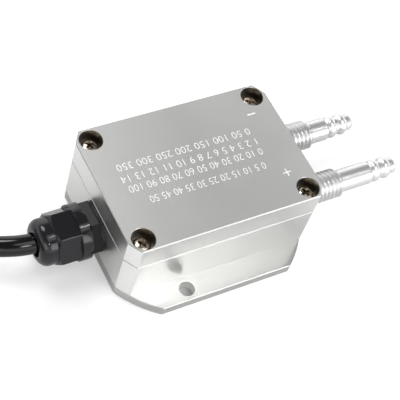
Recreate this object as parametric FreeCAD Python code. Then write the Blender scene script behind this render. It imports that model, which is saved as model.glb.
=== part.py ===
import FreeCAD, Part
import math
import os

# Differential pressure transmitter, in millimetres.
# The housing and its cover are milled from one size of round bar standing on end, so every plan corner
# of both is a piece of the bar's own surface. Origin: centre of the foot, on the mounting surface.
# +X points along the two hose fittings, -X along the cable gland, +Z up through the cover.

V = FreeCAD.Vector

# Housing block; its sharp corners would stand this far outside the round bar it is cut from
corner_cut = 2.2335
body_l = 65.5
body_w = 45.0
body_h = 18.7
floor_t = 2.5
end_wall = 5.0
side_wall = 3.5
pocket_r = 1.5
edge_chamfer = 0.25
rim_chamfer = 0.15

# Mounting foot
foot_w = 60.4
foot_h = 3.3
foot_hole_d = 5.0
foot_hole_x = 12.5
foot_hole_inset = 3.8

# Cover and its screws
cover_h = 8.6
cover_top_t = 4.4
cover_step = 1.0
screw_inset_x = 4.9
screw_inset_y = 4.2
screw_d = 3.0
screw_l = 10.0
screw_head_d = 5.5
screw_head_h = 2.4
screw_boss_d = 9.2
screw_hole_gap = 0.2
counterbore_d = 7.2
counterbore_depth = 5.0
thread_gap = 0.05
tap_spare = 1.0

# Seal cord between body and cover
seal_inset = 0.7
seal_groove_w = 1.3
seal_groove_depth = 1.0
seal_gap = 0.05

# Cable gland
axis_z = 9.2
gland_thread_d = 12.5
gland_thread_l = 8.0
gland_bore_d = 6.6
gland_seal_t = 0.6
gland_seal_w = 1.25
gland_hex_af = 15.6
gland_hex_l = 2.85
gland_hex_turn = -3.0
gland_neck_d = 12.0
gland_neck_l = 5.5
claw_l = 5.5
claw_tip_l = 2.2
claw_d = 11.8
claw_tip_d = 9.9
claw_count = 8
claw_slot_w = 0.8
sleeve_d = 8.4
sleeve_l = 9.6
sleeve_gap = 0.05
nut_gap = 0.15
nut_skirt_l = 3.25
nut_skirt_d = 17.5
nut_hex_af = 15.2
nut_hex_l = 7.2
nut_hex_turn = 7.5
nut_bevel = 0.9
nut_dome_d = 14.5
nut_dome_l = 4.95
nut_dome_r = 2.9
nut_mouth_d = 7.8
nut_bore_gap = 0.15
nut_cone_l = 5.0

# Hose fittings
port_y = 10.2
port_thread_d = 9.8
port_thread_out = 16.2
port_bore_spare = 1.5
port_relief_l = 0.5
port_shank_d = 7.6
high_shank_l = 11.7
low_shank_l = 6.6
port_bore_d = 2.2
barb_d = 7.4
barb_tip_d = 7.2
barb_valley_d = 5.6
barb_first = 2.3
barb_pitch = 4.1
barb_bead_l = 3.2
barb_nose_l = 4.3
barb_nose_d = 5.6
barb_nose_r = 1.3
port_nut_af = 14.0
port_nut_h = 4.0
port_seal_t = 0.8
port_seal_w = 1.7

# Inner hoses, from each fitting to the sensor
nipple_d = 4.0
nipple_l = 7.0
hose_wall = 1.0
hose_gap = 0.05
hose_push = 5.5

# Circuit board
board_gap_x = 5.75
board_gap_y = 1.5
board_t = 1.6
board_lift = 1.5
board_corner_r = 1.5
board_screw_inset = 3.0
board_screw_d = 2.0
board_screw_l = 3.4
board_screw_head_d = 3.6
board_screw_head_h = 1.3
board_pad_d = 5.0
board_hole_gap = 0.15

# Pieces on the board: distance of each centre from the board's cable end, or clearance, then its sizes
hose_space = 3.75
sensor_l = 13.0
sensor_side = 4.3
sensor_port_depth = 4.0
sensor_h = 7.6
sensor_cap_h = 1.0
sensor_cap_inset = 1.5
sensor_edge = 0.6
block_inset = 7.0
block_l = 8.0
block_w = 10.6
block_h = 10.0
block_pitch = 5.0
block_entry = 2.6
block_entry_depth = 4.5
block_entry_z = 3.6
block_screw_d = 3.2
block_screw_h = 1.4
block_well_depth = 4.0
block_well_gap = 0.3
chip_l = 4.9
chip_w = 3.9
chip_h = 1.5
regulator_inset = 8.0
regulator_l = 3.5
regulator_w = 6.5
regulator_h = 1.6
lead_w = 0.6
lead_l = 1.0
lead_t = 0.2
can_inset = 8.4
can_d = 6.3
can_h = 7.7
can_foot = 6.6
can_foot_h = 1.2
trimmer_gap = 1.2
trimmer_side_inset = 1.55
trimmer_l = 4.8
trimmer_w = 9.5
trimmer_h = 8.0
trimmer_screw_d = 2.2
trimmer_screw_h = 0.5
chip_part_l = 2.0
chip_part_w = 1.25
chip_part_h = 0.55
chip_part_inset = 3.4
chip_part_pitch = 9.0
resistor_far_inset = 8.6
capacitor_far_inset = 5.0
chip_part_y = 6.8
chip_part_near_y = 5.2
chip_part_far_y = 2.2

# Cable: sheath, cores and the route of its free length, which lies down on the mounting surface
cable_d = 6.3
sheath_end_inset = 8.75
core_d = 1.6
core_offset = 1.25
route_from_mouth = [
    (10.55, 0.0, axis_z),
    (-0.45, 0.0, axis_z),
    (-10.85, 3.58, 8.3),
    (-19.25, 9.03, 6.2),
    (-26.2, 16.2, 4.35),
    (-32.38, 26.48, cable_d / 2.0),
]
free_run_count = 2
coil_r_out = 38.3
coil_r_in = 24.3
coil_start_deg = 31.0
coil_turns = 4.414
coil_layers = 2
coil_slack = 0.1
coil_corner = 1.2
tie_corner_r = 2.0
tie_w = 2.6
tie_t = 0.9
tie_gap = 0.1
tie_head = 4.6
tie_angles = [62.0, 238.0]
tail_l = 22.0
bared_l = 12.0
end_sleeve_d = 1.1
end_sleeve_l = 6.0

# Derived places
end_x = body_l / 2.0
bar_d = 2.0 * (math.hypot(end_x, body_w / 2.0) - corner_cut)
total_h = body_h + cover_h
pocket_l = body_l - 2.0 * end_wall
pocket_w = body_w - 2.0 * side_wall
foot_hole_y = foot_w / 2.0 - foot_hole_inset
screw_x = end_x - screw_inset_x
screw_y = body_w / 2.0 - screw_inset_y
counterbore_z = total_h - counterbore_depth
gland_seal_d = gland_thread_d + 2.0 * gland_seal_w
gland_seat_x = -end_x - gland_seal_t
gland_hex_x = gland_seat_x - gland_hex_l
claw_x = gland_hex_x - gland_neck_l
claw_tip_x = claw_x - claw_l
sleeve_x = gland_hex_x - 0.8
nut_x = gland_hex_x - nut_gap
nut_hex_x = nut_x - nut_skirt_l
nut_dome_x = nut_hex_x - nut_hex_l
mouth_x = nut_dome_x - nut_dome_l
port_in_x = end_x - end_wall
port_seal_d = port_thread_d + 2.0 * port_seal_w
port_thread_x = end_x + port_thread_out
board_l = pocket_l - 2.0 * board_gap_x
board_w = pocket_w - 2.0 * board_gap_y
board_screw_x = board_l / 2.0 - board_screw_inset
board_screw_y = board_w / 2.0 - board_screw_inset
sensor_w = 2.0 * (port_y + sensor_side)
sensor_x = port_in_x - 2.0 * nipple_l - hose_space - sensor_l / 2.0
board_z = floor_t + board_lift
board_top = board_z + board_t
board_x = -board_l / 2.0
block_x = board_x + block_inset
trimmer_x = sensor_x - sensor_l / 2.0 - trimmer_gap - trimmer_l / 2.0
trimmer_y = board_w / 2.0 - trimmer_side_inset - trimmer_w / 2.0
chip_x = trimmer_x
side_y = (block_w + board_w) / 4.0
regulator_x = board_x + regulator_inset
regulator_y = side_y
can_x = board_x + can_inset
can_y = -side_y
resistor_places = [
    (board_x + chip_part_inset, chip_part_y),
    (board_x + chip_part_inset + chip_part_pitch, chip_part_near_y),
    (-board_x - resistor_far_inset, chip_part_far_y),
    (-board_x - resistor_far_inset, -chip_part_far_y),
]
capacitor_places = [
    (board_x + chip_part_inset, -chip_part_y),
    (board_x + chip_part_inset + chip_part_pitch, -chip_part_near_y),
    (-board_x - capacitor_far_inset, chip_part_far_y),
    (-board_x - capacitor_far_inset, -chip_part_far_y),
]
sheath_end_x = -end_x + sheath_end_inset
cable_route = [(mouth_x + x, y, z) for x, y, z in route_from_mouth]
coil_centre = (
    cable_route[-1][0] - coil_r_out * math.cos(math.radians(coil_start_deg)),
    cable_route[-1][1] - coil_r_out * math.sin(math.radians(coil_start_deg)),
)


def outline(start, *steps):
    # Closed outline in the XZ plane. A step is the next corner, or an arc given as (point on it, its end).
    edges = []
    here = V(start[0], 0, start[1])
    first = here
    for step in list(steps) + [start]:
        if isinstance(step[0], tuple):
            middle = V(step[0][0], 0, step[0][1])
            there = V(step[1][0], 0, step[1][1])
            edges.append(Part.Arc(here, middle, there).toShape())
        else:
            there = V(step[0], 0, step[1])
            if here.distanceToPoint(there) > 1e-6:
                edges.append(Part.LineSegment(here, there).toShape())
        here = there
    if here.distanceToPoint(first) > 1e-6:
        edges.append(Part.LineSegment(here, first).toShape())
    return Part.Face(Part.Wire(edges))


def turned_x(y, z, start, *steps):
    # Turned piece lying along X: the outline gives (place along X, radius)
    solid = outline(start, *steps).revolve(V(0, 0, 0), V(1, 0, 0), 360)
    solid.translate(V(0, y, z))
    return solid


def turned_z(x, y, start, *steps):
    # Turned piece standing along Z: the outline gives (radius, height)
    solid = outline(start, *steps).revolve(V(0, 0, 0), V(0, 0, 1), 360)
    solid.translate(V(x, y, 0))
    return solid


def rod_x(x0, x1, y, z, r):
    return Part.makeCylinder(r, x1 - x0, V(x0, y, z), V(1, 0, 0))


def rod_z(x, y, z0, z1, r):
    return Part.makeCylinder(r, z1 - z0, V(x, y, z0))


def block(x0, x1, y0, y1, z0, z1):
    return Part.makeBox(x1 - x0, y1 - y0, z1 - z0, V(x0, y0, z0))


def hexagon_x(x0, x1, y, z, across, turn):
    # Hexagonal bar along X; turn is the angle of one corner, from +Y towards +Z
    r = across / 2.0 / math.cos(math.radians(30))
    corners = []
    for i in range(7):
        a = math.radians(turn + 60 * i)
        corners.append(V(x0, y + r * math.cos(a), z + r * math.sin(a)))
    return Part.Face(Part.makePolygon(corners)).extrude(V(x1 - x0, 0, 0))


def corners_of(x, y):
    return [(x, y), (-x, y), (-x, -y), (x, -y)]


def upright_edges(shape):
    found = []
    for edge in shape.Edges:
        a = edge.Vertexes[0].Point
        b = edge.Vertexes[-1].Point
        if abs(a.x - b.x) < 1e-6 and abs(a.y - b.y) < 1e-6 and abs(a.z - b.z) > 1e-6:
            found.append(edge)
    return found


def edges_at_height(shape, z):
    found = []
    for edge in shape.Edges:
        if abs(edge.BoundBox.ZMin - z) < 1e-6 and abs(edge.BoundBox.ZMax - z) < 1e-6:
            found.append(edge)
    return found


def bar_slice(length, width, z0, z1):
    # A slice of the round bar with its flats milled
    disc = rod_z(0, 0, z0, z1, bar_d / 2.0)
    return disc.common(block(-length / 2, length / 2, -width / 2, width / 2, z0, z1))


def pocket_form(z0, z1, inset):
    # The milled pocket: a rectangle that goes round the four screw bosses, with a cutter's radius in its
    # corners. Inset makes it smaller all round, so that every outline made here runs parallel to the first.
    lx = pocket_l / 2.0
    ly = pocket_w / 2.0
    boss = V(screw_x, screw_y, 0)
    reach = screw_boss_d / 2.0 + pocket_r
    side_y = ly - pocket_r
    side_x = screw_x - math.sqrt(reach ** 2 - (screw_y - side_y) ** 2)
    front_x = lx - pocket_r
    front_y = screw_y - math.sqrt(reach ** 2 - (screw_x - front_x) ** 2)
    r = pocket_r - inset
    side = V(side_x, side_y, 0)
    front = V(front_x, front_y, 0)
    to_side = side.sub(boss).normalize()
    to_front = front.sub(boss).normalize()
    near_side = boss.add(to_side * (reach - r))
    near_front = boss.add(to_front * (reach - r))
    near_middle = boss.add((to_side + to_front).normalize() * (reach - r))
    side_middle = side.add((V(0, 1, 0) - to_side).normalize() * r)
    front_middle = front.add((V(1, 0, 0) - to_front).normalize() * r)
    edges = []
    for mirror_x, mirror_y in ((1, 1), (1, -1), (-1, -1), (-1, 1)):
        def put(v):
            return V(v.x * mirror_x, v.y * mirror_y, z0)
        top = V(side_x, side_y + r, 0)
        end = V(front_x + r, front_y, 0)
        edges.append(Part.LineSegment(put(V(0, top.y, 0)), put(top)).toShape())
        edges.append(Part.Arc(put(top), put(side_middle), put(near_side)).toShape())
        edges.append(Part.Arc(put(near_side), put(near_middle), put(near_front)).toShape())
        edges.append(Part.Arc(put(near_front), put(front_middle), put(end)).toShape())
        edges.append(Part.LineSegment(put(end), put(V(end.x, 0, 0))).toShape())
    plan = Part.Face(Part.Wire(Part.__sortEdges__(edges)))
    return plan.extrude(V(0, 0, z1 - z0)).removeSplitter()


def seal_ring(z0, z1, gap):
    # Ring that follows the pocket's edge, in the rim between the pocket and the outside
    outer = pocket_form(z0, z1, -(seal_inset + seal_groove_w - gap))
    inner = pocket_form(z0, z1, -(seal_inset + gap))
    return outer.cut(inner)


def make_body():
    block_part = bar_slice(body_l, body_w, 0, body_h)
    block_part = block_part.makeChamfer(edge_chamfer, edges_at_height(block_part, body_h))
    foot = bar_slice(body_l, foot_w, 0, foot_h)
    foot = foot.makeChamfer(edge_chamfer, edges_at_height(foot, foot_h))
    shape = block_part.fuse(foot).removeSplitter()
    shape = shape.cut(pocket_form(floor_t, body_h, 0.0))
    for x, y in corners_of(board_screw_x, board_screw_y):
        shape = shape.fuse(rod_z(x, y, floor_t, board_z, board_pad_d / 2.0))
        depth = floor_t + board_lift - (board_screw_l - board_t)
        shape = shape.cut(rod_z(x, y, depth, board_z, board_screw_d / 2.0 + thread_gap))
    for x, y in corners_of(screw_x, screw_y):
        bottom = counterbore_z - screw_l - tap_spare
        shape = shape.cut(rod_z(x, y, bottom, body_h, screw_d / 2.0 + thread_gap))
    shape = shape.cut(seal_ring(body_h - seal_groove_depth, body_h, 0.0))
    shape = shape.cut(rod_x(-end_x, -end_x + end_wall, 0, axis_z, gland_thread_d / 2.0 + thread_gap))
    for y in (-port_y, port_y):
        inner = port_in_x - port_bore_spare
        shape = shape.cut(rod_x(inner, end_x, y, axis_z, port_thread_d / 2.0 + thread_gap))
    for side in (-1, 1):
        hole = rod_z(side * foot_hole_x, side * foot_hole_y, 0, foot_h, foot_hole_d / 2.0)
        shape = shape.cut(hole)
    return shape


def make_cover():
    shape = bar_slice(body_l, body_w, body_h, total_h)
    outer_edges = edges_at_height(shape, total_h) + edges_at_height(shape, body_h)
    shape = shape.makeChamfer(edge_chamfer, outer_edges)
    shape = shape.cut(pocket_form(body_h, total_h - cover_top_t, cover_step))
    for x, y in corners_of(screw_x, screw_y):
        bore = counterbore_d / 2.0
        shape = shape.cut(turned_z(
            x, y, (0, counterbore_z), (bore, counterbore_z), (bore, total_h - rim_chamfer),
            (bore + rim_chamfer, total_h), (0, total_h),
        ))
        shape = shape.cut(rod_z(x, y, body_h, counterbore_z, screw_d / 2.0 + screw_hole_gap))
    return shape


def make_cover_screw(x, y):
    r = screw_d / 2.0
    head = screw_head_d / 2.0
    z = counterbore_z
    top = z + screw_head_h
    return turned_z(
        x, y,
        (0, z - screw_l), (r - 0.4, z - screw_l), (r, z - screw_l + 0.5), (r, z), (head, z),
        (head, z + 0.45 * screw_head_h), (0.86 * head, z + 0.82 * screw_head_h), (0.5 * head, top), (0, top),
    )


def make_seal():
    return seal_ring(body_h - seal_groove_depth, body_h, seal_gap)


def make_gland_body():
    thread = gland_thread_d / 2.0
    bore = gland_bore_d / 2.0
    seat = sleeve_d / 2.0 + sleeve_gap
    neck = gland_neck_d / 2.0
    shape = turned_x(
        0, axis_z,
        (-end_x + gland_thread_l, bore), (-end_x + gland_thread_l, thread - 0.6),
        (-end_x + gland_thread_l - 0.6, thread), (gland_seat_x, thread), (gland_hex_x, thread),
        (gland_hex_x, neck), (claw_x, neck), (claw_x, claw_d / 2.0),
        (claw_tip_x + claw_tip_l, claw_d / 2.0), (claw_tip_x, claw_tip_d / 2.0), (claw_tip_x, seat),
        (sleeve_x, seat), (sleeve_x, bore),
    )
    hexagon = hexagon_x(gland_hex_x, gland_seat_x, 0, axis_z, gland_hex_af, gland_hex_turn)
    hexagon = hexagon.cut(rod_x(gland_hex_x, gland_seat_x, 0, axis_z, thread - 0.5))
    shape = shape.fuse(hexagon).removeSplitter()
    for i in range(claw_count):
        slot = block(claw_tip_x - 1, claw_x, seat - 1, claw_d, -claw_slot_w / 2.0, claw_slot_w / 2.0)
        slot.rotate(V(0, 0, 0), V(1, 0, 0), 360.0 * i / claw_count)
        slot.translate(V(0, 0, axis_z))
        shape = shape.cut(slot)
    return shape


def make_gland_seal():
    bore = gland_thread_d / 2.0 + thread_gap
    outer = gland_seal_d / 2.0
    return turned_x(0, axis_z, (gland_seat_x, bore), (gland_seat_x, outer), (-end_x, outer), (-end_x, bore))


def make_gland_sleeve():
    bore = cable_d / 2.0 + sleeve_gap
    outer = sleeve_d / 2.0
    end = sleeve_x - sleeve_l
    return turned_x(0, axis_z, (end, bore), (end, outer), (sleeve_x, outer), (sleeve_x, bore))


def make_gland_nut():
    skirt = nut_skirt_d / 2.0
    dome = nut_dome_d / 2.0
    bore = gland_neck_d / 2.0 + nut_bore_gap
    mouth = nut_mouth_d / 2.0
    cone_x = claw_tip_x + claw_tip_l
    cone_end = cone_x - nut_cone_l
    bend = math.sqrt(0.5) * nut_dome_r
    skin = turned_x(
        0, axis_z,
        (nut_x, 0), (nut_x, skirt), (nut_hex_x, skirt), (nut_dome_x + nut_bevel, skirt),
        (nut_dome_x, skirt - 1.1), (nut_dome_x, dome), (mouth_x + nut_dome_r, dome),
        ((mouth_x + nut_dome_r - bend, dome - nut_dome_r + bend), (mouth_x, dome - nut_dome_r)),
        (mouth_x, 0),
    )
    flats = hexagon_x(nut_dome_x, nut_hex_x, 0, axis_z, nut_hex_af, nut_hex_turn)
    flats = flats.fuse(rod_x(nut_hex_x, nut_x, 0, axis_z, skirt + 1))
    flats = flats.fuse(rod_x(mouth_x, nut_dome_x, 0, axis_z, dome + 1))
    hollow = turned_x(
        0, axis_z,
        (nut_x, 0), (nut_x, bore), (cone_x, bore), (cone_end, mouth), (mouth_x, mouth), (mouth_x, 0),
    )
    return skin.common(flats).cut(hollow)


def make_port(y, shank_l):
    # One hose fitting: inner nipple, thread through the wall, plain shank, two rounded barbs, blunt nose
    nipple = nipple_d / 2.0
    bore = port_bore_d / 2.0
    thread = port_thread_d / 2.0
    shank = port_shank_d / 2.0
    ridge = barb_d / 2.0
    tip_ridge = barb_tip_d / 2.0
    valley = barb_valley_d / 2.0
    nose = barb_nose_d / 2.0
    bend = math.sqrt(0.5) * barb_nose_r
    bead = barb_bead_l / 2.0
    relief_x = port_thread_x + port_relief_l
    shank_x = relief_x + shank_l
    one = shank_x + barb_first
    two = one + barb_pitch
    end = two + barb_nose_l
    nipple_x = port_in_x - nipple_l
    return turned_x(
        y, axis_z,
        (nipple_x, bore), (nipple_x, nipple - 0.4), (nipple_x + 0.8, nipple), (port_in_x, nipple),
        (port_in_x, thread - 0.6), (port_in_x + 0.6, thread), (port_thread_x - 0.6, thread),
        (port_thread_x, shank - 0.2), (relief_x, shank - 0.2), (relief_x, shank),
        (shank_x - 0.2, shank), (one - bead, valley),
        ((one, ridge), (one + bead, valley)),
        (two - bead, valley),
        ((two, tip_ridge), (two + bead, valley)),
        (end - barb_nose_r, nose),
        ((end - barb_nose_r + bend, nose - barb_nose_r + bend), (end, nose - barb_nose_r)),
        (end, bore),
    )


def make_port_seal(y):
    bore = port_thread_d / 2.0 + thread_gap
    outer = port_seal_d / 2.0
    return turned_x(
        y, axis_z, (end_x, bore), (end_x, outer), (end_x + port_seal_t, outer), (end_x + port_seal_t, bore)
    )


def make_port_nut(y):
    x0 = end_x + port_seal_t
    x1 = x0 + port_nut_h
    corner = port_nut_af / 2.0 / math.cos(math.radians(30))
    flat = port_nut_af / 2.0
    hexagon = hexagon_x(x0, x1, y, axis_z, port_nut_af, 0.0)
    skin = turned_x(
        y, axis_z,
        (x0, 0), (x0, flat), (x0 + 0.5, corner), (x1 - 0.5, corner), (x1, flat), (x1, 0),
    )
    return hexagon.common(skin).cut(rod_x(x0, x1, y, axis_z, port_thread_d / 2.0 + thread_gap))


def make_board():
    shape = block(-board_l / 2, board_l / 2, -board_w / 2, board_w / 2, board_z, board_top)
    shape = shape.makeFillet(board_corner_r, upright_edges(shape))
    for x, y in corners_of(board_screw_x, board_screw_y):
        shape = shape.cut(rod_z(x, y, board_z, board_top, board_screw_d / 2.0 + board_hole_gap))
    return shape


def make_board_screw(x, y):
    r = board_screw_d / 2.0
    head = board_screw_head_d / 2.0
    top = board_top + board_screw_head_h
    low = board_top - board_screw_l
    shape = turned_z(
        x, y,
        (0, low), (r, low), (r, board_top), (head, board_top), (head, top - 0.6), (0.6 * head, top), (0, top),
    )
    return shape.cut(block(x - head, x + head, y - 0.2, y + 0.2, top - 0.5, top))


def sensor_nipple_x():
    # Free end of the sensor's nipples: level with the hose's push on both sides
    return sensor_x + sensor_l / 2.0 + nipple_l


def make_sensor():
    x0 = sensor_x - sensor_l / 2.0
    x1 = sensor_x + sensor_l / 2.0
    half = sensor_w / 2.0
    top = board_top + sensor_h
    shape = block(x0, x1, -half, half, board_top, top)
    shape = shape.makeFillet(sensor_edge, upright_edges(shape))
    inset = sensor_cap_inset
    cap = block(x0 + inset, x1 - inset, -half + inset, half - inset, top, top + sensor_cap_h)
    shape = shape.fuse(cap)
    r = nipple_d / 2.0
    tip = sensor_nipple_x()
    for y in (-port_y, port_y):
        shape = shape.fuse(turned_x(
            y, axis_z, (x1 - 1, 0), (x1 - 1, r + 0.6), (x1 + 0.6, r + 0.6), (x1 + 0.6, r),
            (tip - 0.8, r), (tip, r - 0.4), (tip, 0),
        ))
        shape = shape.cut(rod_x(x1 - sensor_port_depth, tip, y, axis_z, port_bore_d / 2.0))
    return shape.removeSplitter()


def make_inner_hose(y):
    # Short straight length of soft tube, pushed over the fitting's nipple and the sensor's nipple
    r = nipple_d / 2.0 + hose_gap
    x0 = sensor_nipple_x() - hose_push
    x1 = port_in_x - nipple_l + hose_push
    return rod_x(x0, x1, y, axis_z, r + hose_wall).cut(rod_x(x0, x1, y, axis_z, r))


def make_terminal_block():
    x0 = block_x - block_l / 2.0
    x1 = block_x + block_l / 2.0
    half = block_w / 2.0
    top = board_top + block_h
    shape = block(x0, x1, -half, half, board_top, top)
    shape = shape.cut(block(x1 - 1.6, x1, -half, half, top - 2.2, top))
    for side in (-1, 1):
        y = side * block_pitch / 2.0
        z = board_top + block_entry_z
        e = block_entry / 2.0
        shape = shape.cut(block(x0, x0 + block_entry_depth, y - e, y + e, z - e, z + e))
        well = block_screw_d / 2.0 + block_well_gap
        shape = shape.cut(rod_z(block_x - 0.6, y, top - block_well_depth, top, well))
    return shape


def make_terminal_screw(side):
    y = side * block_pitch / 2.0
    z = board_top + block_h - block_well_depth
    r = block_screw_d / 2.0
    x = block_x - 0.6
    shape = rod_z(x, y, z, z + block_screw_h, r)
    return shape.cut(block(x - r, x + r, y - 0.3, y + 0.3, z + block_screw_h - 0.7, z + block_screw_h))


def make_signal_chip():
    z = board_top + lead_t
    shape = block(
        chip_x - chip_w / 2, chip_x + chip_w / 2, -chip_l / 2, chip_l / 2, z, z + chip_h - lead_t
    )
    for side in (-1, 1):
        for i in range(4):
            y = (i - 1.5) * 1.27
            a = chip_x + side * (chip_w / 2.0 - 0.4)
            b = chip_x + side * (chip_w / 2.0 + lead_l)
            lead = block(min(a, b), max(a, b), y - 0.2, y + 0.2, board_top, z + 0.3)
            shape = shape.fuse(lead)
    return shape.removeSplitter()


def make_regulator():
    x0 = regulator_x - regulator_l / 2.0
    x1 = regulator_x + regulator_l / 2.0
    half = regulator_w / 2.0
    shape = block(x0, x1, regulator_y - half, regulator_y + half, board_top, board_top + regulator_h)
    tab = block(x1 - 0.4, x1 + lead_l, regulator_y - 1.5, regulator_y + 1.5, board_top, board_top + 0.4)
    shape = shape.fuse(tab)
    for i in (-1, 0, 1):
        y = regulator_y + 2.3 * i
        lead = block(x0 - lead_l, x0 + 0.4, y - lead_w / 2, y + lead_w / 2, board_top, board_top + 0.4)
        shape = shape.fuse(lead)
    return shape.removeSplitter()


def make_smoothing_capacitor():
    foot = can_foot / 2.0
    top = board_top + can_h
    base = block(can_x - foot, can_x + foot, can_y - foot, can_y + foot, board_top, board_top + can_foot_h)
    r = can_d / 2.0
    z = board_top + can_foot_h
    can = turned_z(
        can_x, can_y,
        (0, board_top), (r, board_top), (r, z + 0.7), (r - 0.3, z + 1.0), (r, z + 1.3), (r, top - 0.4),
        (r - 0.4, top), (0, top),
    )
    return base.fuse(can)


def make_trimmer(side):
    y = side * trimmer_y
    x0 = trimmer_x - trimmer_l / 2.0
    x1 = trimmer_x + trimmer_l / 2.0
    half = trimmer_w / 2.0
    top = board_top + trimmer_h
    body = block(x0, x1, y - half, y + half, board_top, top)
    screw_y0 = y + side * (half - 1.8)
    screw = rod_z(trimmer_x, screw_y0, top - 0.5, top + trimmer_screw_h, trimmer_screw_d / 2.0)
    r = trimmer_screw_d / 2.0
    slot = block(trimmer_x - r, trimmer_x + r, screw_y0 - 0.2, screw_y0 + 0.2, top, top + trimmer_screw_h)
    return body.fuse(screw).cut(slot)


def make_chip_parts(places):
    parts = []
    for x, y in places:
        dx = chip_part_l / 2.0
        dy = chip_part_w / 2.0
        parts.append(block(x - dx, x + dx, y - dy, y + dy, board_top, board_top + chip_part_h))
    return Part.Compound(parts)


def round_wire(d, at, along):
    return Part.Wire(Part.Circle(at, along, d / 2.0).toShape())


def path_edges(points, name):
    # Straight runs joined by tangent arcs, each arc as large as its two runs allow
    places = [V(*p) for p in points]
    edges = []
    radii = []
    start = places[0]
    for i in range(1, len(places) - 1):
        back = places[i - 1].sub(places[i])
        ahead = places[i + 1].sub(places[i])
        run = 0.45 * min(back.Length, ahead.Length)
        back.normalize()
        ahead.normalize()
        half_turn = (math.pi - back.getAngle(ahead)) / 2.0
        radius = run / math.tan(half_turn)
        radii.append(round(radius, 1))
        a = places[i].add(back * run)
        b = places[i].add(ahead * run)
        inward = back.add(ahead)
        inward.normalize()
        middle = places[i].add(inward * (radius / math.cos(half_turn) - radius))
        edges.append(Part.LineSegment(start, a).toShape())
        edges.append(Part.Arc(a, middle, b).toShape())
        start = b
    edges.append(Part.LineSegment(start, places[-1]).toShape())
    print(name, "length", round(sum(edge.Length for edge in edges), 1), "radii", radii)
    return edges


def swept(edges, d, name):
    first = edges[0]
    start = first.valueAt(first.FirstParameter)
    along = first.valueAt(first.LastParameter).sub(start)
    solid = Part.Wire(edges).makePipeShell([round_wire(d, start, along)], True, False)
    length = sum(edge.Length for edge in edges)
    share = solid.Volume / (math.pi * d * d / 4.0 * length)
    print(name, "volume over section times length", round(share, 4))
    return solid


def tube(points, d, name):
    return swept(path_edges(points, name), d, name)


def make_inner_core(side):
    # One core from the end of the sheath into the terminal block
    y0 = side * core_offset
    y1 = side * block_pitch / 2.0
    z1 = board_top + block_entry_z
    x0 = block_x - block_l / 2.0
    points = [
        (sheath_end_x, y0, axis_z),
        (sheath_end_x + 1.3, y0, axis_z),
        (x0 - 1.2, y1, z1),
        (x0 + block_entry_depth - 0.5, y1, z1),
    ]
    return tube(points, core_d, "inner core")


def make_cable_held():
    # The stretch of cable that the gland holds, up to where the cores leave the sheath
    return rod_x(cable_route[0][0], sheath_end_x, 0, axis_z, cable_d / 2.0)


def split_route():
    # The free cable and the coil's lead-in meet face to face halfway along one straight run of the route
    edges = path_edges(cable_route, "cable route")
    line = edges[2 * free_run_count]
    a = line.valueAt(line.FirstParameter)
    b = line.valueAt(line.LastParameter)
    middle = a.add(b) * 0.5
    first = edges[:2 * free_run_count] + [Part.LineSegment(a, middle).toShape()]
    rest = [Part.LineSegment(middle, b).toShape()] + edges[2 * free_run_count + 1:]
    return first, rest


def make_cable():
    return swept(split_route()[0], cable_d, "cable")


def tail_points():
    # The tail leaves the top layer at the end of the last turn, straight on and drooping a little
    angle = math.radians(coil_start_deg + 360.0 * coil_turns)
    out = V(math.cos(angle), math.sin(angle), 0)
    along = V(-math.sin(angle), math.cos(angle), 0)
    start = V(coil_centre[0], coil_centre[1], cable_d * (coil_layers - 0.5)).add(out * coil_r_out)
    places = [start]
    for share, drop in ((0.5, 0.2), (1.0, 1.3)):
        places.append(start.add(along * (tail_l * share)).sub(V(0, 0, drop)))
    return places, along, out


def coil_section():
    # Inner radius, outer radius and height of the coil's outer shape
    spare = cable_d / 2.0 + coil_slack
    return coil_r_in - spare, coil_r_out + spare, cable_d * coil_layers + coil_slack


def make_cable_coil():
    # Outer shape of the tied coil, with the short lengths of cable that lead in and out of it
    low, high, top = coil_section()
    c = coil_corner
    ring = turned_z(
        coil_centre[0], coil_centre[1],
        (low + c, 0), (high - c, 0), (high, c), (high, top - c), (high - c, top), (low + c, top),
        (low, top - c), (low, c),
    )
    lead_in = swept(split_route()[1], cable_d, "lead-in")
    places, along, out = tail_points()
    tail = tube([(q.x, q.y, q.z) for q in places], cable_d, "tail")
    coil = ring.fuse(lead_in).fuse(tail)
    for angle in tie_angles:
        coil = coil.cut(make_tie(angle, tie_gap))
    return coil


def make_tie(angle, spare):
    # Narrow strap round the coil's section, with its lock on the outside; spare makes it larger all round
    r = tie_corner_r
    low, high, top = coil_section()
    half = tie_w / 2.0 + spare
    outer = block(low - tie_t - spare, high + tie_t + spare, -half, half, -spare, top + tie_t + spare)
    hole = block(low + spare, high - spare, -half, half, tie_t + spare, top - spare)
    outer = outer.makeFillet(r + tie_t, edges_across(outer, 2.0 * half))
    hole = hole.makeFillet(r, edges_across(hole, 2.0 * half))
    lock = block(
        high + tie_t - 0.3, high + tie_t + 2.2, -tie_head / 2.0, tie_head / 2.0, tie_head / 2.0, 1.5 * tie_head
    )
    strap = outer.cut(hole).fuse(lock)
    strap.rotate(V(0, 0, 0), V(0, 0, 1), angle)
    strap.translate(V(coil_centre[0], coil_centre[1], 0))
    return strap


def edges_across(shape, width):
    return [e for e in shape.Edges if abs(e.BoundBox.YLength - width) < 1e-6]


def end_core_points(side):
    places, along, out = tail_points()
    start = places[-1]
    ahead = places[-1].sub(places[-2]).normalize()
    points = []
    for share, spread, drop in ((0.0, 1.0, 0.0), (0.35, 1.0, 0.0), (1.0, 2.6, 1.8)):
        p = start.add(ahead * (bared_l * share)).add(out * (side * core_offset * spread))
        points.append((p.x, p.y, p.z - drop))
    return points


def make_end_core(side):
    return tube(end_core_points(side), core_d, "end core")


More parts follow.
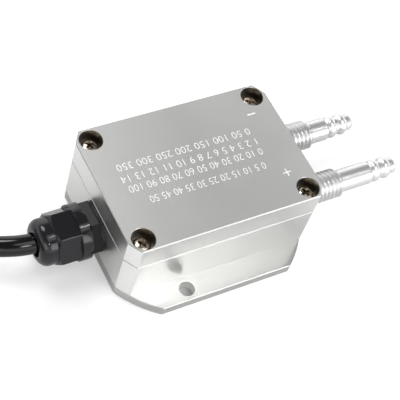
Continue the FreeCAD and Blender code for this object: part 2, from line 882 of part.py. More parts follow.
def make_end_sleeve(side):
    points = end_core_points(side)
    a = V(*points[-2])
    b = V(*points[-1])
    along = b.sub(a)
    along.normalize()
    return Part.makeCylinder(end_sleeve_d / 2.0, end_sleeve_l, b, along)


def write(name, shape):
    shape.exportStep("parts/" + name + ".step")


os.makedirs("parts", exist_ok=True)
write("housing_body", make_body())
write("cover", make_cover())
write("cover_seal", make_seal())
write("cover_screws", Part.Compound([make_cover_screw(x, y) for x, y in corners_of(screw_x, screw_y)]))
write("gland_body", make_gland_body())
write("gland_seal", make_gland_seal())
write("gland_sleeve", make_gland_sleeve())
write("gland_nut", make_gland_nut())
write("high_port_fitting", make_port(-port_y, high_shank_l))
write("low_port_fitting", make_port(port_y, low_shank_l))
write("port_lock_nuts", Part.Compound([make_port_nut(-port_y), make_port_nut(port_y)]))
write("port_seals", Part.Compound([make_port_seal(-port_y), make_port_seal(port_y)]))
write("circuit_board", make_board())
write("board_screws", Part.Compound([make_board_screw(x, y) for x, y in corners_of(board_screw_x, board_screw_y)]))
write("pressure_sensor", make_sensor())
write("high_inner_hose", make_inner_hose(-port_y))
write("low_inner_hose", make_inner_hose(port_y))
write("terminal_block", make_terminal_block())
write("terminal_screws", Part.Compound([make_terminal_screw(-1), make_terminal_screw(1)]))
write("signal_chip", make_signal_chip())
write("voltage_regulator", make_regulator())
write("smoothing_capacitor", make_smoothing_capacitor())
write("zero_trimmer", make_trimmer(1))
write("span_trimmer", make_trimmer(-1))
write("chip_resistors", make_chip_parts(resistor_places))
write("chip_capacitors", make_chip_parts(capacitor_places))
write("cable_held_length", make_cable_held())
write("inner_core_red", make_inner_core(1))
write("inner_core_black", make_inner_core(-1))
write("cable", make_cable())
write("cable_coil", make_cable_coil())
write("coil_ties", Part.Compound([make_tie(a, 0.0) for a in tie_angles]))
write("end_core_red", make_end_core(1))
write("end_core_black", make_end_core(-1))
write("end_sleeves", Part.Compound([make_end_sleeve(1), make_end_sleeve(-1)]))
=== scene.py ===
import math
import bmesh
import bpy
from mathutils import Matrix, Vector


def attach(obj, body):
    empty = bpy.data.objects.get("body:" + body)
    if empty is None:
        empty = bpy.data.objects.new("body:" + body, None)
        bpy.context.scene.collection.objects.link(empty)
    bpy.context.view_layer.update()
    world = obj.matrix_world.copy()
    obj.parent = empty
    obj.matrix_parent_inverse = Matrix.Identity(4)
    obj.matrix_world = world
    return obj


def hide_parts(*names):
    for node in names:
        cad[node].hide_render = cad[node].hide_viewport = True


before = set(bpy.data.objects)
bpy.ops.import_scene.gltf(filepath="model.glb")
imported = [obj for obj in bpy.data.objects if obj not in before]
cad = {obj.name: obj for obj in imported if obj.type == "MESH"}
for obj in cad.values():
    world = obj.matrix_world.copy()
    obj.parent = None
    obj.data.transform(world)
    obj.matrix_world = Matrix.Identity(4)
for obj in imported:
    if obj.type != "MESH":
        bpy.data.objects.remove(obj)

scene = bpy.context.scene
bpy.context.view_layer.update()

# Camera: a long lens above the cable end of the front wall, looking down along the housing.
# The whole housing, its gland, both hose fittings and the first centimetre of the cable are in view.
lens = bpy.data.cameras.new("camera")
lens.lens = 110.999
lens.sensor_width = 36.0
lens.clip_start = 0.01
lens.clip_end = 20.0
camera = bpy.data.objects.new("camera", lens)
camera.location = (-0.154871, -0.167360, 0.315904)
camera.rotation_euler = [math.radians(a) for a in (34.9556, -12.0346, -27.0720)]
scene.collection.objects.link(camera)
scene.camera = camera
scene.view_settings.view_transform = "Standard"


# Cable: 6.3 mm black PVC sheath over two cores, smooth and glossy from the extruder. It leaves the gland
# straight, bends down to the surface that the transmitter stands on, and its spare length lies there in a
# two-layer coil of about four and a half turns, with a short tail on top.
cable_d = 0.0063
cable_route = [
    (-0.0412, 0.0, 0.0092),
    (-0.0522, 0.0, 0.0092),
    (-0.0626, 0.00358, 0.0083),
    (-0.0710, 0.00903, 0.0062),
    (-0.07795, 0.0162, 0.00435),
    (-0.08413, 0.02648, 0.00315),
]
coil_r_out = 0.0383
coil_r_in = 0.0243
coil_start = math.radians(31.0)
coil_turns = 4.414
coil_steps = 66
coil_centre = Vector((-0.11696, 0.006754, 0.0))
tail_route = [(-0.15526, -0.00427, 0.00925), (-0.15526, -0.01527, 0.00815)]

points = list(cable_route)
for i in range(1, coil_steps):
    share = i / coil_steps
    angle = coil_start + 2 * math.pi * coil_turns * share
    inward = 1.0 - abs(2.0 * share - 1.0)
    radius = (coil_r_out + (coil_r_in - coil_r_out) * inward) / math.cos(math.pi * coil_turns / coil_steps)
    climb = min(1.0, max(0.0, (share - 0.5) * coil_turns * 6.0 + 0.5))
    height = cable_d * (0.5 + climb)
    points.append((
        coil_centre.x + radius * math.cos(angle), coil_centre.y + radius * math.sin(angle), height
    ))
points += tail_route

curve = bpy.data.curves.new("cable", "CURVE")
curve.dimensions = "3D"
curve.bevel_depth = cable_d / 2
curve.bevel_resolution = 6
curve.use_fill_caps = True
spline = curve.splines.new("NURBS")
spline.points.add(len(points) - 1)
for point, place in zip(spline.points, points):
    point.co = (*place, 1.0)
spline.order_u = 3
spline.use_endpoint_u = True
spline.resolution_u = 6
cable = bpy.data.objects.new("power_cable", curve)
scene.collection.objects.link(cable)


def linear(code):
    channels = [int(code[i:i + 2], 16) / 255 for i in (1, 3, 5)]
    return [c / 12.92 if c <= 0.04045 else ((c + 0.055) / 1.055) ** 2.4 for c in channels] + [1.0]


def add(material, kind, values=None, links=None, **settings):
    # Adds one node: values go on its sockets, links are (node, output) pairs for its sockets
    node = material.node_tree.nodes.new(kind)
    for name, value in settings.items():
        setattr(node, name, value)
    for name, value in (values or {}).items():
        node.inputs[name].default_value = value
    for name, (source, output) in (links or {}).items():
        material.node_tree.links.new(source.outputs[output], node.inputs[name])
    return node


def blank(name):
    material = bpy.data.materials.new(name)
    material.use_nodes = True
    material.node_tree.nodes.clear()
    return material


# Extruded PVC: soft black plastic with a clear skin. Slow waves of the extruder, a few millimetres long,
# break up its long highlights.
pvc_black = blank("extruded_pvc_black")
place = add(pvc_black, "ShaderNodeTexCoord")
wave = add(pvc_black, "ShaderNodeTexNoise", {"Scale": 260.0, "Detail": 3.0}, {"Vector": (place, "Object")})
bump = add(pvc_black, "ShaderNodeBump", {"Strength": 0.04, "Distance": 0.0003}, {"Height": (wave, "Fac")})
gloss = add(pvc_black, "ShaderNodeMapRange", {"To Min": 0.08, "To Max": 0.11}, {"Value": (wave, "Fac")})
skin = add(
    pvc_black, "ShaderNodeBsdfPrincipled",
    {"Base Color": linear("#070708"), "IOR": 1.44},
    {"Roughness": (gloss, "Result"), "Normal": (bump, "Normal")},
)
add(pvc_black, "ShaderNodeOutputMaterial", {}, {"Surface": (skin, "BSDF")})
curve.materials.append(pvc_black)
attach(cable, "root")
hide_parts("cable", "cable_coil")


def paint(node, material):
    # Gives a CAD node's own slots the material
    data = cad[node].data
    if not data.materials:
        data.materials.append(material)
    for i in range(len(data.materials)):
        data.materials[i] = material


paint("cable_held_length", pvc_black)


# Studio: a white sweep of paper as the floor, white screens all round under a dark ceiling, two small
# bright lamps and four soft boxes. The paper shows as white where nothing shades it.
floor_size = 4.0
floor_z = -0.0002
floor_bm = bmesh.new()
bmesh.ops.create_grid(floor_bm, x_segments=1, y_segments=1, size=floor_size)
bmesh.ops.translate(floor_bm, verts=floor_bm.verts, vec=(0, 0, floor_z))
floor_mesh = bpy.data.meshes.new("floor")
floor_bm.to_mesh(floor_mesh)
floor_bm.free()
floor = bpy.data.objects.new("floor", floor_mesh)
scene.collection.objects.link(floor)

# White paper: matt and plain. A faint glow of its own, which only the camera sees, keeps it white.
paper = blank("white_paper")
ray = add(paper, "ShaderNodeLightPath")
# The glow fades out at the housing's front left, where its shade falls, and so paints that shadow darker
painted_shadow_spot = (-0.048, -0.020, 0.0)
spot = add(paper, "ShaderNodeTexCoord")
apart = add(paper, "ShaderNodeVectorMath", {1: painted_shadow_spot}, {0: (spot, "Object")}, operation="DISTANCE")
fade = add(
    paper, "ShaderNodeMapRange", {"From Min": 0.006, "From Max": 0.032, "To Min": 0.10, "To Max": 0.40},
    {"Value": (apart, "Value")},
)
# Under the foot no glow shows through its bolt holes, but a painted reflection glows there for the wall to
# mirror
hole_reach_x = 0.0165
hole_reach_y = 0.0293
middle = add(paper, "ShaderNodeSeparateXYZ", {}, {"Vector": (spot, "Object")})
off_x = add(paper, "ShaderNodeMath", {}, {0: (middle, "X")}, operation="ABSOLUTE")
off_y = add(paper, "ShaderNodeMath", {}, {0: (middle, "Y")}, operation="ABSOLUTE")
in_x = add(paper, "ShaderNodeMath", {1: hole_reach_x}, {0: (off_x, "Value")}, operation="LESS_THAN")
in_y = add(paper, "ShaderNodeMath", {1: hole_reach_y}, {0: (off_y, "Value")}, operation="LESS_THAN")
under = add(paper, "ShaderNodeMath", {}, {0: (in_x, "Value"), 1: (in_y, "Value")}, operation="MULTIPLY")
clear = add(paper, "ShaderNodeMath", {0: 1.0}, {1: (under, "Value")}, operation="SUBTRACT")
open_glow = add(
    paper, "ShaderNodeMath", {}, {0: (clear, "Value"), 1: (fade, "Result")}, operation="MULTIPLY"
)
seen = add(
    paper, "ShaderNodeMath", {}, {0: (ray, "Is Camera Ray"), 1: (open_glow, "Value")}, operation="MULTIPLY"
)
# Painted reflection: the paper glows for mirrors only, more strongly under the foot
painted_reflection_glow = add(paper, "ShaderNodeMath", {1: 0.35, 2: 0.02}, {0: (under, "Value")}, operation="MULTIPLY_ADD")
mirrored = add(
    paper, "ShaderNodeMath", {}, {0: (ray, "Is Glossy Ray"), 1: (painted_reflection_glow, "Value")}, operation="MULTIPLY"
)
glow = add(paper, "ShaderNodeMath", {}, {0: (seen, "Value"), 1: (mirrored, "Value")}, operation="ADD")
matt = add(paper, "ShaderNodeBsdfDiffuse", {"Color": linear("#DDDDDD")})
lit = add(paper, "ShaderNodeEmission", {"Color": (1, 1, 1, 1)}, {"Strength": (glow, "Value")})
both = add(paper, "ShaderNodeAddShader", {}, {0: (matt, "BSDF"), 1: (lit, "Emission")})
add(paper, "ShaderNodeOutputMaterial", {}, {"Surface": (both, "Shader")})
floor_mesh.materials.append(paper)

world = bpy.data.worlds.new("studio")
scene.world = world
world.use_nodes = True
world.node_tree.nodes.clear()
ray = add(world, "ShaderNodeLightPath")
aim = add(world, "ShaderNodeTexCoord")
parts = add(world, "ShaderNodeSeparateXYZ", {}, {"Vector": (aim, "Generated")})
depth = add(world, "ShaderNodeMapRange", {"From Min": 0.0, "From Max": 1.0}, {"Value": (parts, "Z")})
# The screens end at 25 degrees above the floor, and the ceiling is dark from 37 degrees on
sky = add(world, "ShaderNodeValToRGB", {}, {"Fac": (depth, "Result")})
sky.color_ramp.elements[0].position = 0.0
sky.color_ramp.elements[0].color = (1.0, 1.0, 1.0, 1)
sky.color_ramp.elements[1].position = 1.0
sky.color_ramp.elements[1].color = (0.15, 0.15, 0.15, 1)
for place, grey in ((0.42, 0.98), (0.60, 0.15)):
    sky.color_ramp.elements.new(place).color = (grey, grey, grey, 1)
shine = add(world, "ShaderNodeBackground", {"Strength": 1.6}, {"Color": (sky, "Color")})
white = add(world, "ShaderNodeBackground", {"Color": (1, 1, 1, 1), "Strength": 1.0})
choice = add(
    world, "ShaderNodeMixShader", {},
    {0: (ray, "Is Camera Ray"), 1: (shine, "Background"), 2: (white, "Background")},
)
add(world, "ShaderNodeOutputWorld", {}, {"Surface": (choice, "Shader")})


def lamp(name, aim, distance, length, width, radiance):
    # Oval lamp in the given direction from the housing, turned to it, its length along the housing;
    # radiance is what a mirror would show
    light = bpy.data.lights.new(name, "AREA")
    light.shape = "ELLIPSE"
    light.size = length
    light.size_y = width
    light.energy = radiance * math.pi * math.pi * length * width / 4
    thing = bpy.data.objects.new(name, light)
    back = Vector(aim).normalized()
    right = (Vector((1, 0, 0)) - back * back.x).normalized()
    thing.location = back * distance
    thing.rotation_euler = Matrix((right, back.cross(right), back)).transposed().to_euler()
    scene.collection.objects.link(thing)


lamp("key_lamp", (0.360, -0.272, 0.880), 1.15, 0.30, 0.06, 25.0)
lamp("back_softbox", (-0.15, 0.55, 0.82), 1.0, 0.50, 0.50, 7.2)
lamp("top_softbox", (0.10, -0.35, 0.93), 1.0, 0.60, 0.60, 1.9)
lamp("left_softbox", (-0.70, -0.60, 0.38), 0.9, 0.50, 0.50, 1.8)
lamp("strip_lamp", (-0.10, -0.70, 0.68), 1.0, 0.16, 0.16, 15.0)
lamp("front_softbox", (0.35, -0.85, 0.40), 0.9, 0.50, 0.50, 3.6)


# Housing body: one block of aluminium cut from 75 mm round bar. Its flats and foot are milled, and the
# cutter's fine feed lines run level round its walls. It stands on its foot, and all the rest hangs on it.
foot_h = 0.0033


def aluminium(name, top_roughness, wall_roughness, top_colour, wall_colour, grain):
    # Machined aluminium: blasted or faced on top, milled with level feed lines on its walls, and polished
    # along its broken edges
    material = blank(name)
    tree = material.node_tree
    place = add(material, "ShaderNodeTexCoord")
    face = add(material, "ShaderNodeNewGeometry")
    up = add(material, "ShaderNodeSeparateXYZ", {}, {"Vector": (face, "True Normal")})
    # Faces that look up, and the broken edges at 45 degrees, told by their tilt
    is_top = add(material, "ShaderNodeMath", {1: 0.9}, {0: (up, "Z")}, operation="GREATER_THAN")
    tilt = add(material, "ShaderNodeMath", {}, {0: (up, "Z")}, operation="ABSOLUTE")
    is_edge = add(material, "ShaderNodeMath", {1: 0.707, 2: 0.05}, {0: (tilt, "Value")}, operation="COMPARE")
    # Feed lines 0.3 mm apart and centimetres long
    along = add(material, "ShaderNodeMapping", {"Scale": (40.0, 40.0, 3200.0)}, {"Vector": (place, "Object")})
    lines = add(material, "ShaderNodeTexNoise", {"Scale": 1.0, "Detail": 3.0}, {"Vector": (along, "Vector")})
    # Blasting grit 0.2 mm, drawn 0.4 mm so that it shows
    grit = add(
        material, "ShaderNodeTexNoise", {"Scale": 2500.0, "Detail": 2.0}, {"Vector": (place, "Object")}
    )
    # Clouds 15 mm wide, where the top was blasted or faced a little more
    cloud = add(material, "ShaderNodeTexNoise", {"Scale": 60.0, "Detail": 3.0}, {"Vector": (place, "Object")})
    line_bump = add(
        material, "ShaderNodeBump", {"Strength": 0.015, "Distance": 0.0001}, {"Height": (lines, "Fac")}
    )
    grit_bump = add(
        material, "ShaderNodeBump", {"Strength": grain, "Distance": 0.0001}, {"Height": (grit, "Fac")}
    )
    normal = add(material, "ShaderNodeMix", {}, {"Factor": (is_top, "Value")}, data_type="VECTOR")
    tree.links.new(line_bump.outputs["Normal"], normal.inputs[4])
    tree.links.new(grit_bump.outputs["Normal"], normal.inputs[5])
    top_r = add(
        material, "ShaderNodeMapRange",
        {"To Min": top_roughness - 0.03, "To Max": top_roughness + 0.03}, {"Value": (cloud, "Fac")},
    )
    wall_r = add(
        material, "ShaderNodeMapRange",
        {"To Min": wall_roughness - 0.03, "To Max": wall_roughness + 0.03}, {"Value": (lines, "Fac")},
    )
    rough = add(material, "ShaderNodeMix", {}, {"Factor": (is_top, "Value")}, data_type="FLOAT")
    tree.links.new(wall_r.outputs["Result"], rough.inputs[2])
    tree.links.new(top_r.outputs["Result"], rough.inputs[3])
    tint = add(material, "ShaderNodeMix", {}, {"Factor": (is_top, "Value")}, data_type="RGBA")
    # The long flats are milled. The ends and corners are painted lighter, as painted reflection, and the edge
    # of the foot is painted darker, as painted shade
    across = add(material, "ShaderNodeMath", {}, {0: (up, "Y")}, operation="ABSOLUTE")
    is_flat = add(material, "ShaderNodeMath", {1: 0.9}, {0: (across, "Value")}, operation="GREATER_THAN")
    spot = add(material, "ShaderNodeSeparateXYZ", {}, {"Vector": (place, "Object")})
    is_foot = add(material, "ShaderNodeMath", {1: foot_h + 0.0001}, {0: (spot, "Z")}, operation="LESS_THAN")
    # Painted light and shade: the ends and corners are lighter than the flats, and the foot's edge darker
    wall = add(material, "ShaderNodeMix", {}, {"Factor": (is_flat, "Value")}, data_type="RGBA")
    wall.inputs[6].default_value = linear("#ECECEA")
    wall.inputs[7].default_value = linear(wall_colour)
    side = add(material, "ShaderNodeMix", {}, {"Factor": (is_foot, "Value")}, data_type="RGBA")
    tree.links.new(wall.outputs[2], side.inputs[6])
    side.inputs[7].default_value = linear("#BEBEBC")
    tree.links.new(side.outputs[2], tint.inputs[6])
    tint.inputs[7].default_value = linear(top_colour)
    polish = add(material, "ShaderNodeMix", {}, {"Factor": (is_edge, "Value")}, data_type="RGBA")
    tree.links.new(tint.outputs[2], polish.inputs[6])
    polish.inputs[7].default_value = linear("#949492")
    metal = add(material, "ShaderNodeBsdfPrincipled", {"Metallic": 1.0})
    tree.links.new(polish.outputs[2], metal.inputs["Base Color"])
    tree.links.new(rough.outputs[0], metal.inputs["Roughness"])
    tree.links.new(normal.outputs[1], metal.inputs["Normal"])
    add(material, "ShaderNodeOutputMaterial", {}, {"Surface": (metal, "BSDF")})
    return material, metal, polish, place


paint("housing_body", aluminium("milled_aluminium", 0.24, 0.29, "#DEDEDC", "#D0D0CE", 0.02)[0])


# Cover: thick aluminium lid from the same bar, blasted matt on top and milled on its walls. Its four
# counterbores are bored deep, and their walls are painted darker, as painted shade in the recesses.
screw_x = 0.02785
screw_y = 0.0183
total_h = 0.0273
bore_r = 0.0036
bore_depth = 0.0050
cover_metal, metal, tint, place = aluminium("blasted_aluminium", 0.42, 0.30, "#CACAC8", "#C8C8C6", 0.25)
apart = add(cover_metal, "ShaderNodeSeparateXYZ", {}, {"Vector": (place, "Object")})
off_x = add(cover_metal, "ShaderNodeMath", {}, {0: (apart, "X")}, operation="ABSOLUTE")
off_y = add(cover_metal, "ShaderNodeMath", {}, {0: (apart, "Y")}, operation="ABSOLUTE")
from_bore = add(cover_metal, "ShaderNodeCombineXYZ", {}, {"X": (off_x, "Value"), "Y": (off_y, "Value")})
reach = add(
    cover_metal, "ShaderNodeVectorMath", {1: (screw_x, screw_y, 0.0)}, {0: (from_bore, "Vector")},
    operation="DISTANCE",
)
wall_margin = 0.00003
bore_shade_mask = add(
    cover_metal, "ShaderNodeMath", {1: bore_r + wall_margin}, {0: (reach, "Value")}, operation="LESS_THAN"
)
dark = add(cover_metal, "ShaderNodeMix", {}, {"Factor": (bore_shade_mask, "Value")}, data_type="RGBA")
# The cover is painted up to a fifth paler towards the fittings' end, as painted light
painted_light_ramp = add(
    cover_metal, "ShaderNodeMapRange", {"From Min": 0.0, "From Max": 0.033, "To Min": 1.0, "To Max": 1.22},
    {"Value": (apart, "X")},
)
toned = add(
    cover_metal, "ShaderNodeVectorMath", {}, {0: (tint, 2), "Scale": (painted_light_ramp, "Result")}, operation="SCALE"
)
cover_metal.node_tree.links.new(toned.outputs["Vector"], dark.inputs[6])
# Painted shade: the counterbore walls are darker than the metal round them
dark.inputs[7].default_value = linear("#8A867F")
cover_metal.node_tree.links.new(dark.outputs[2], metal.inputs["Base Color"])
paint("cover", cover_metal)


# Marking: rows of plain numbers and the signs of the two ports, cut into the blasted top by laser, which
# leaves them paler and rougher than the metal round them. They read from the low pressure side.
# Laser-marked aluminium: a pale, matt crust of grains 0.3 mm wide, which shows white from every side
marking = blank("laser_marked_aluminium")
place = add(marking, "ShaderNodeTexCoord")
spots = add(marking, "ShaderNodeTexNoise", {"Scale": 3000.0, "Detail": 2.0}, {"Vector": (place, "Object")})
rough = add(marking, "ShaderNodeMapRange", {"To Min": 0.5, "To Max": 0.7}, {"Value": (spots, "Fac")})
frost = add(
    marking, "ShaderNodeBsdfPrincipled", {"Base Color": linear("#EAEAE8"), "Metallic": 0.2},
    {"Roughness": (rough, "Result")},
)
add(marking, "ShaderNodeOutputMaterial", {}, {"Surface": (frost, "BSDF")})


thin_by = -0.015
mark_h = 0.00001
row_h = 0.0024


def marked(name, text, centre, width, height):
    # One line of characters as a closed mesh 0.02 mm thick, half sunk, turned to read from the +Y side
    letters = bpy.data.curves.new(name, "FONT")
    letters.body = text
    letters.resolution_u = 3
    letters.offset = thin_by
    letters.extrude = mark_h
    writer = bpy.data.objects.new(name, letters)
    scene.collection.objects.link(writer)
    bpy.context.view_layer.update()
    written = writer.evaluated_get(bpy.context.evaluated_depsgraph_get())
    mesh = bpy.data.meshes.new_from_object(written)
    bpy.data.objects.remove(writer)
    bm = bmesh.new()
    bm.from_mesh(mesh)
    bmesh.ops.remove_doubles(bm, verts=bm.verts, dist=1e-6)
    bm.to_mesh(mesh)
    bm.free()
    xs = [v.co.x for v in mesh.vertices]
    ys = [v.co.y for v in mesh.vertices]
    mesh.transform(Matrix.Translation((-(min(xs) + max(xs)) / 2, -(min(ys) + max(ys)) / 2, 0)))
    mesh.transform(Matrix.Diagonal((width / (max(xs) - min(xs)), height / (max(ys) - min(ys)), 1, 1)))
    mesh.transform(Matrix.Rotation(math.pi, 4, "Z"))
    mesh.transform(Matrix.Translation((centre[0], centre[1], total_h)))
    mesh.materials.clear()
    mesh.materials.append(marking)
    line = bpy.data.objects.new(name, mesh)
    scene.collection.objects.link(line)
    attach(line, "root")


marked("marking_row_1", "0 5 10 15 20 25 30 35 40 45 50", (-0.0006, -0.00675), 0.0392, row_h)
marked("marking_row_2", "0 10 20 30 40 50 60 70 80 90 100", (-0.0020, -0.0017), 0.0452, row_h)
marked("marking_row_3", "1 2 3 4 5 6 7 8 9 10 11 12 13 14", (-0.0024, 0.0021), 0.0460, row_h)
marked("marking_row_4", "0 50 100 150 200 250 300 350", (-0.00225, 0.0063), 0.0453, row_h)
marked("marking_high_port", "+", (0.0242, -0.0113), 0.0028, 0.0028)
marked("marking_low_port", "-", (0.0242, 0.0120), 0.0028, 0.0005)


# Cover screws: M3 pan heads with a cross recess, dark nickel on steel, turned down until their heads sit
# below the top of the counterbores.
def finished(bm, name, material, smooth=35.0):
    # Closes up the mesh, points its faces outwards, and hangs it on the housing
    bmesh.ops.remove_doubles(bm, verts=bm.verts, dist=1e-7)
    bmesh.ops.recalc_face_normals(bm, faces=bm.faces)
    mesh = bpy.data.meshes.new(name)
    bm.to_mesh(mesh)
    bm.free()
    mesh.shade_smooth()
    mesh.set_sharp_from_angle(angle=math.radians(smooth))
    mesh.materials.append(material)
    thing = bpy.data.objects.new(name, mesh)
    scene.collection.objects.link(thing)
    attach(thing, "root")
    return thing


def turned(bm, outline, start, along, steps):
    # Spins an outline of (place along the axis, radius) round the axis
    axis = Vector(along)
    side = Vector((0, 1, 0)) if abs(axis.x) > 0.5 else Vector((1, 0, 0))
    start = Vector(start)
    verts = [bm.verts.new(start + axis * a + side * r) for a, r in outline]
    edges = [bm.edges.new(pair) for pair in zip(verts, verts[1:])]
    return bmesh.ops.spin(
        bm, geom=verts + edges, cent=start, axis=axis, dvec=(0, 0, 0), angle=2 * math.pi, steps=steps,
        use_merge=True, use_duplicate=False,
    )


# Dark nickel on steel: brownish plate with brighter worn spots 1 mm wide, which make each head glint
# unevenly.
nickel = blank("dark_nickel_plated_steel")
place = add(nickel, "ShaderNodeTexCoord")
wear = add(nickel, "ShaderNodeTexNoise", {"Scale": 900.0, "Detail": 4.0}, {"Vector": (place, "Object")})
shade = add(nickel, "ShaderNodeValToRGB", {}, {"Fac": (wear, "Fac")})
shade.color_ramp.elements[0].position = 0.42
shade.color_ramp.elements[0].color = linear("#8C7E6E")
shade.color_ramp.elements[1].position = 0.64
shade.color_ramp.elements[1].color = linear("#F6EBDC")
rough = add(nickel, "ShaderNodeMapRange", {"To Min": 0.14, "To Max": 0.26}, {"Value": (wear, "Fac")})
plate = add(
    nickel, "ShaderNodeBsdfPrincipled", {"Metallic": 1.0},
    {"Base Color": (shade, "Color"), "Roughness": (rough, "Result")},
)
add(nickel, "ShaderNodeOutputMaterial", {}, {"Surface": (plate, "BSDF")})

head_r = 0.00275
head_z = total_h - bore_depth
one = bmesh.new()
turned(
    one,
    [(-0.0100, 0.0), (-0.0100, 0.0011), (-0.0095, 0.0015), (0.0, 0.0015), (0.0, head_r), (0.0010, head_r),
     (0.0015, 0.0026), (0.0019, 0.0023), (0.0022, 0.0018), (0.0024, 0.0)],
    (0, 0, 0), (0, 0, 1), 48,
)
bmesh.ops.remove_doubles(one, verts=one.verts, dist=1e-7)
bmesh.ops.recalc_face_normals(one, faces=one.faces)
plain_mesh = bpy.data.meshes.new("plain_screw")
one.to_mesh(plain_mesh)
one.free()
plain_screw = bpy.data.objects.new("plain_screw", plain_mesh)
scene.collection.objects.link(plain_screw)
# The recess is two crossed wedges, each narrower at its bottom
recess_l = 0.0032
recess_w = 0.0009
recess_h = 0.0018
bottom_share = 0.45
wings = []
for length, width in ((recess_l, recess_w), (recess_w, recess_l)):
    wing = bmesh.new()
    bmesh.ops.create_cube(wing, size=1.0)
    bmesh.ops.scale(wing, verts=wing.verts, vec=(length, width, recess_h))
    bmesh.ops.translate(wing, verts=wing.verts, vec=(0, 0, recess_h))
    low = [v for v in wing.verts if v.co.z < recess_h]
    bmesh.ops.scale(wing, verts=low, vec=(bottom_share, bottom_share, 1.0))
    mesh = bpy.data.meshes.new("wing")
    wing.to_mesh(mesh)
    wing.free()
    cutter = bpy.data.objects.new("wing", mesh)
    scene.collection.objects.link(cutter)
    cut = plain_screw.modifiers.new("cross_recess", "BOOLEAN")
    cut.operation = "DIFFERENCE"
    cut.solver = "EXACT"
    cut.object = cutter
    wings.append(cutter)
bpy.context.view_layer.update()
cut_screw = plain_screw.evaluated_get(bpy.context.evaluated_depsgraph_get())
recessed = bpy.data.meshes.new_from_object(cut_screw)
for thing in wings + [plain_screw]:
    bpy.data.objects.remove(thing)

# Each screw stopped at its own angle
screw_bm = bmesh.new()
for x, y, turn in (
    (-screw_x, -screw_y, 38), (screw_x, -screw_y, 12), (screw_x, screw_y, 60), (-screw_x, screw_y, 25),
):
    mesh = recessed.copy()
    mesh.transform(Matrix.Translation((x, y, head_z)) @ Matrix.Rotation(math.radians(turn), 4, "Z"))
    screw_bm.from_mesh(mesh)
    bpy.data.meshes.remove(mesh)
screws = finished(screw_bm, "cover_screw_set", nickel)
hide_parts("cover_screws")


# Cover seal and other rubber: black nitrile, dull, with a fine moulded grain.
# Nitrile: the mould's fine grain, 0.5 mm, keeps it dull
rubber = blank("black_nitrile_rubber")
place = add(rubber, "ShaderNodeTexCoord")
grain = add(rubber, "ShaderNodeTexNoise", {"Scale": 2000.0, "Detail": 3.0}, {"Vector": (place, "Object")})
bump = add(rubber, "ShaderNodeBump", {"Strength": 0.2, "Distance": 0.0001}, {"Height": (grain, "Fac")})
tone = add(rubber, "ShaderNodeMapRange", {"To Min": 0.55, "To Max": 0.75}, {"Value": (grain, "Fac")})
dull = add(
    rubber, "ShaderNodeBsdfPrincipled", {"Base Color": linear("#1E1E1F"), "IOR": 1.5},
    {"Roughness": (tone, "Result"), "Normal": (bump, "Normal")},
)
add(rubber, "ShaderNodeOutputMaterial", {}, {"Surface": (dull, "BSDF")})
for node in ("cover_seal", "gland_seal", "gland_sleeve", "port_seals"):
    paint(node, rubber)


# Cable gland and cable ties: black glass-filled nylon, moulded. The skin is glossy, with slight flow marks
# on the flats and edges rounded by the mould.
def nylon(name, colour, ior):
    # Moulded nylon with flow marks 5 mm long, which make its highlights a little uneven
    material = blank(name)
    place = add(material, "ShaderNodeTexCoord")
    flow = add(material, "ShaderNodeTexNoise", {"Scale": 180.0, "Detail": 4.0}, {"Vector": (place, "Object")})
    soft = add(material, "ShaderNodeBevel", {"Radius": 0.0003})
    bump = add(
        material, "ShaderNodeBump", {"Strength": 0.06, "Distance": 0.0002},
        {"Height": (flow, "Fac"), "Normal": (soft, "Normal")},
    )
    tone = add(material, "ShaderNodeMapRange", {"To Min": 0.09, "To Max": 0.15}, {"Value": (flow, "Fac")})
    gloss = add(
        material, "ShaderNodeBsdfPrincipled", {"Base Color": linear(colour), "IOR": ior},
        {"Roughness": (tone, "Result"), "Normal": (bump, "Normal")},
    )
    add(material, "ShaderNodeOutputMaterial", {}, {"Surface": (gloss, "BSDF")})
    return material


# Two copies of one black nylon: the nut's is the lighter, and the darker, duller copy on the gland body and
# ties is painted shade
paint("gland_nut", nylon("moulded_nylon_black_lit", "#18181B", 1.40))
shaded_nylon = nylon("moulded_nylon_black_painted_shade", "#060607", 1.29)
paint("gland_body", shaded_nylon)
paint("coil_ties", shaded_nylon)


# Hose fittings: brass turned on a lathe and nickel plated. An M10 thread of 1.5 mm pitch holds each in the
# wall, a plain shank follows, and two rounded barbs and a blunt nose take the hose.
# Bright nickel over turned brass: rings of the lathe's feed 0.25 mm apart run round the shank and soften
# its highlights.
bright_nickel = blank("bright_nickel_plated_brass")
place = add(bright_nickel, "ShaderNodeTexCoord")
rings = add(
    bright_nickel, "ShaderNodeMapping", {"Scale": (4000.0, 60.0, 60.0)}, {"Vector": (place, "Object")}
)
turning = add(
    bright_nickel, "ShaderNodeTexNoise", {"Scale": 1.0, "Detail": 2.0}, {"Vector": (rings, "Vector")}
)
bump = add(
    bright_nickel, "ShaderNodeBump", {"Strength": 0.02, "Distance": 0.0001}, {"Height": (turning, "Fac")}
)
rough = add(
    bright_nickel, "ShaderNodeMapRange", {"To Min": 0.32, "To Max": 0.38}, {"Value": (turning, "Fac")}
)
plate = add(
    bright_nickel, "ShaderNodeBsdfPrincipled", {"Base Color": linear("#DEDEDE"), "Metallic": 1.0},
    {"Roughness": (rough, "Result"), "Normal": (bump, "Normal")},
)
add(bright_nickel, "ShaderNodeOutputMaterial", {}, {"Surface": (plate, "BSDF")})
paint("port_lock_nuts", bright_nickel)

